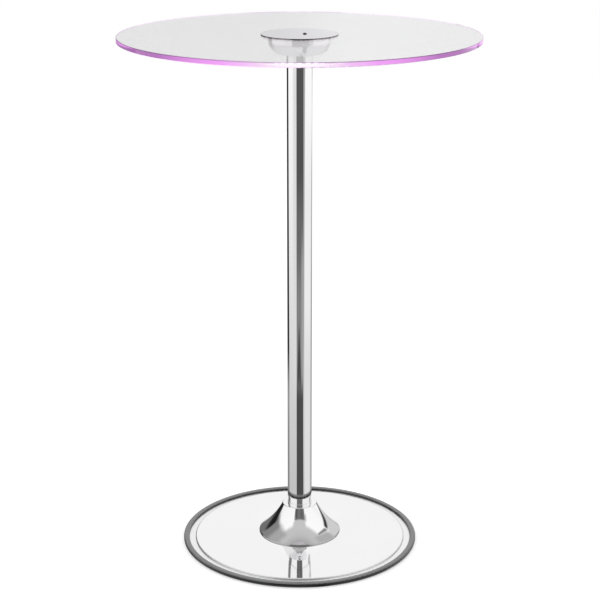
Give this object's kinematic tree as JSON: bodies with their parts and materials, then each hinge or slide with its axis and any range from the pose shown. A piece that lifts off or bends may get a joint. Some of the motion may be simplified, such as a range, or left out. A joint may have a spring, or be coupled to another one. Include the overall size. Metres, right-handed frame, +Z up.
{
  "type": "light-up bar table",
  "caption": "Round bar-height table with a clear edge-lit top, a chrome hub that holds the lights and battery, a chrome column and a weighted round foot.",
  "frame": {"origin": "on the floor, on the axis of the column", "axes": "+Z up along the column; -Y towards the picture's camera; the switch and charging socket face +Y"},
  "size_m": [0.713, 0.713, 1.0709],
  "materials": {
    "clear_acrylic": "polished clear acrylic, bright at its cut edge",
    "chrome": "mirror polished chrome plate",
    "zinc_steel": "bright zinc plate",
    "carrier_aluminium": "turned and clear anodised",
    "ballast_iron": "black enamel",
    "foot_rubber": "smooth, slightly glossy dark rubber",
    "silicone": "milky silicone",
    "pad_foam": "closed-cell adhesive foam",
    "window_plastic": "dark polished infrared window",
    "strip_film": "white flexible circuit",
    "led_lens": "lit emitters",
    "board_laminate": "green solder mask",
    "black_plastic": "moulded black plastic",
    "fitting_nickel": "nickel plate",
    "cell_jacket": "blue film over a metal can",
    "button_plastic": "polished black plastic",
    "lead_sheath": "black flexible sheath"
  },
  "bodies": {
    "table": {"top_disc": "clear_acrylic", "hub_cap": "chrome", "hub_bowl": "chrome", "column_tube": "chrome", "column_collar": "chrome", "trumpet_cover": "chrome", "base_cover": "chrome", "support_dish": "zinc_steel", "hub_core": "zinc_steel", "column_plug": "zinc_steel", "column_spigot": "zinc_steel", "trumpet_seat": "zinc_steel", "base_boss": "zinc_steel", "tie_rod": "zinc_steel", "rod_washers": "zinc_steel", "rod_nuts": "zinc_steel", "carrier_screws": "zinc_steel", "board_screws": "zinc_steel", "cover_screws": "zinc_steel", "led_carrier": "carrier_aluminium", "ballast_plate": "ballast_iron", "foot_ring": "foot_rubber", "upper_gasket": "silicone", "lower_gasket": "silicone", "cap_pad": "pad_foam", "ir_window": "window_plastic", "led_strip": "strip_film", "leds": "led_lens", "controller_board": "board_laminate", "board_parts": "black_plastic", "ir_receiver": "black_plastic", "battery_cradles": "black_plastic", "charge_socket": "black_plastic", "power_switch": "black_plastic", "board_spacers": "black_plastic", "socket_nut": "fitting_nickel", "switch_nut": "fitting_nickel", "cell_links": "fitting_nickel", "battery_cells": "cell_jacket", "socket_lead": "lead_sheath", "switch_lead": "lead_sheath", "battery_lead": "lead_sheath", "led_lead": "lead_sheath"},
    "button": {"power_button": "button_plastic"}
  },
  "joints": [
    {"name": "power_button_press", "type": "slide", "parent": "table", "child": "button", "axis": [0.2419, -0.9703, 0], "range_m": [0, 0.0015], "stiffness_N_per_m": 400, "springref_m": -0.001}
  ]
}
